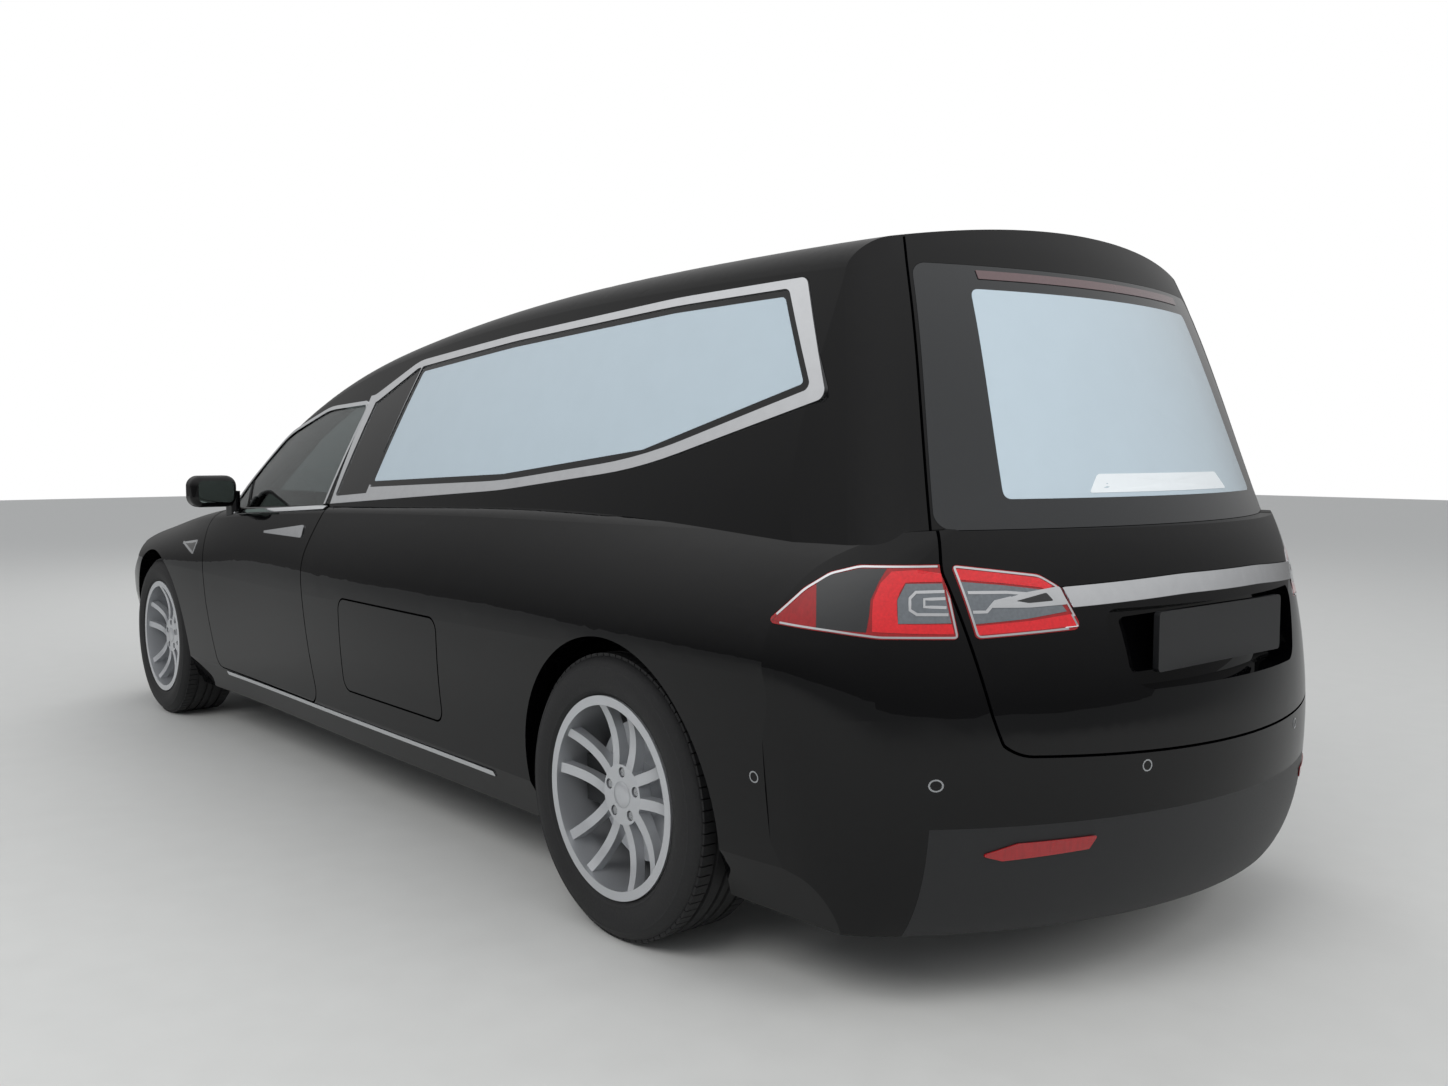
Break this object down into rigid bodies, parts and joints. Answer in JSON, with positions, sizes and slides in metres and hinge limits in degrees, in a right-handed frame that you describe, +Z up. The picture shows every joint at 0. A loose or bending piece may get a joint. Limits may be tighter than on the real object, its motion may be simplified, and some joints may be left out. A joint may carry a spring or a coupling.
{
  "type": "hearse",
  "caption": "Closed hearse on a stretched saloon: long glazed load space behind a front cab, with opening doors, tailgate, bonnet and side hatches, on steered road wheels.",
  "frame": {"origin": "on the ground, at the middle of the length and width", "axes": "+X forwards, +Y to the left, +Z up"},
  "size_m": [5.5826, 2.15, 1.7179],
  "materials": {
    "paint": "gloss black",
    "clear_glass": "clear",
    "frosted_glass": "frosted",
    "tyre": "matt",
    "rim": "silver lacquer",
    "cast": "as cast",
    "bright": "polished",
    "red_lens": "clear red",
    "lamp_lens": "clear",
    "black_plastic": "satin",
    "gloss_black": "gloss",
    "leather": "smooth",
    "deck_board": "lacquered"
  },
  "bodies": {
    "body": {"battery_pack": "black_plastic", "dashboard": "black_plastic", "floor_pan": "black_plastic", "front_bumper": "paint", "front_drive": "cast", "front_fenders": "paint", "front_intake": "black_plastic", "front_structure": "black_plastic", "front_suspension": "cast", "headlamps": "lamp_lens", "load_deck": "deck_board", "pillar_covers": "gloss_black", "rear_bumper": "paint", "rear_knuckles": "cast", "rear_valance": "black_plastic", "reflectors": "red_lens", "roof": "paint", "seats": "leather", "side_frame_left": "paint", "side_frame_right": "paint", "side_glasses": "frosted_glass", "tail_lamps_body": "red_lens", "window_frames": "bright", "windscreen": "clear_glass"},
    "bonnet": {"bonnet": "paint"},
    "door_left": {"door_left": "paint", "door_glass_left": "clear_glass", "door_trim_left": "bright", "mirror_left": "paint"},
    "door_right": {"door_right": "paint", "door_glass_right": "clear_glass", "door_trim_right": "bright", "mirror_right": "paint"},
    "tailgate": {"tailgate": "paint", "tailgate_glass": "frosted_glass", "tail_lamps_gate": "red_lens", "tailgate_bar": "bright", "plate_holder": "black_plastic"},
    "hatch_left": {"hatch_left": "paint"},
    "hatch_right": {"hatch_right": "paint"},
    "steer_left": {"knuckle_left": "cast"},
    "steer_right": {"knuckle_right": "cast"},
    "wheel_front_left": {"tyre_front_left": "tyre", "rim_front_left": "rim"},
    "wheel_front_right": {"tyre_front_right": "tyre", "rim_front_right": "rim"},
    "wheel_rear_left": {"tyre_rear_left": "tyre", "rim_rear_left": "rim"},
    "wheel_rear_right": {"tyre_rear_right": "tyre", "rim_rear_right": "rim"},
    "steering_wheel": {"steering_wheel": "black_plastic"}
  },
  "joints": [
    {"name": "bonnet_hinge", "type": "hinge", "parent": "body", "child": "bonnet", "pos_m": [1.3, 0, 1], "axis": [0, -1, 0], "range_deg": [0, 60]},
    {"name": "door_left_hinge", "type": "hinge", "parent": "body", "child": "door_left", "pos_m": [1.243, 0.975, 0.63], "axis": [0, 0, -1], "range_deg": [0, 65]},
    {"name": "door_right_hinge", "type": "hinge", "parent": "body", "child": "door_right", "pos_m": [1.243, -0.975, 0.63], "axis": [0, 0, 1], "range_deg": [0, 65]},
    {"name": "tailgate_hinge", "type": "hinge", "parent": "body", "child": "tailgate", "pos_m": [-2.217, 0, 1.722], "axis": [0, 1, 0], "range_deg": [0, 80]},
    {"name": "hatch_left_hinge", "type": "hinge", "parent": "body", "child": "hatch_left", "pos_m": [-0.485, 0.973, 0.703], "axis": [1, 0, 0], "range_deg": [0, 80]},
    {"name": "hatch_right_hinge", "type": "hinge", "parent": "body", "child": "hatch_right", "pos_m": [-0.485, -0.973, 0.703], "axis": [-1, 0, 0], "range_deg": [0, 80]},
    {"name": "steer_left", "type": "hinge", "parent": "body", "child": "steer_left", "pos_m": [1.865, 0.75, 0.3515], "axis": [0, 0, 1], "range_deg": [-35, 35]},
    {"name": "steer_right", "type": "hinge", "parent": "body", "child": "steer_right", "pos_m": [1.865, -0.75, 0.3515], "axis": [0, 0, 1], "range_deg": [-35, 35]},
    {"name": "steering_wheel_turn", "type": "hinge", "parent": "body", "child": "steering_wheel", "pos_m": [0.83, 0.39, 0.88], "axis": [-0.9061, 0, 0.423], "range_deg": [-472.5, 472.5]},
    {"name": "wheel_front_left_spin", "type": "hinge", "parent": "steer_left", "child": "wheel_front_left", "pos_m": [1.865, 0.831, 0.3515], "axis": [0, 1, 0], "continuous": true},
    {"name": "wheel_front_right_spin", "type": "hinge", "parent": "steer_right", "child": "wheel_front_right", "pos_m": [1.865, -0.831, 0.3515], "axis": [0, 1, 0], "continuous": true},
    {"name": "wheel_rear_left_spin", "type": "hinge", "parent": "body", "child": "wheel_rear_left", "pos_m": [-1.685, 0.85, 0.3515], "axis": [0, 1, 0], "continuous": true},
    {"name": "wheel_rear_right_spin", "type": "hinge", "parent": "body", "child": "wheel_rear_right", "pos_m": [-1.685, -0.85, 0.3515], "axis": [0, 1, 0], "continuous": true}
  ],
  "couplings": [
    {"joint": "steer_right", "follows": "steer_left", "ratio": 1},
    {"joint": "steering_wheel_turn", "follows": "steer_left", "ratio": 13.5}
  ]
}
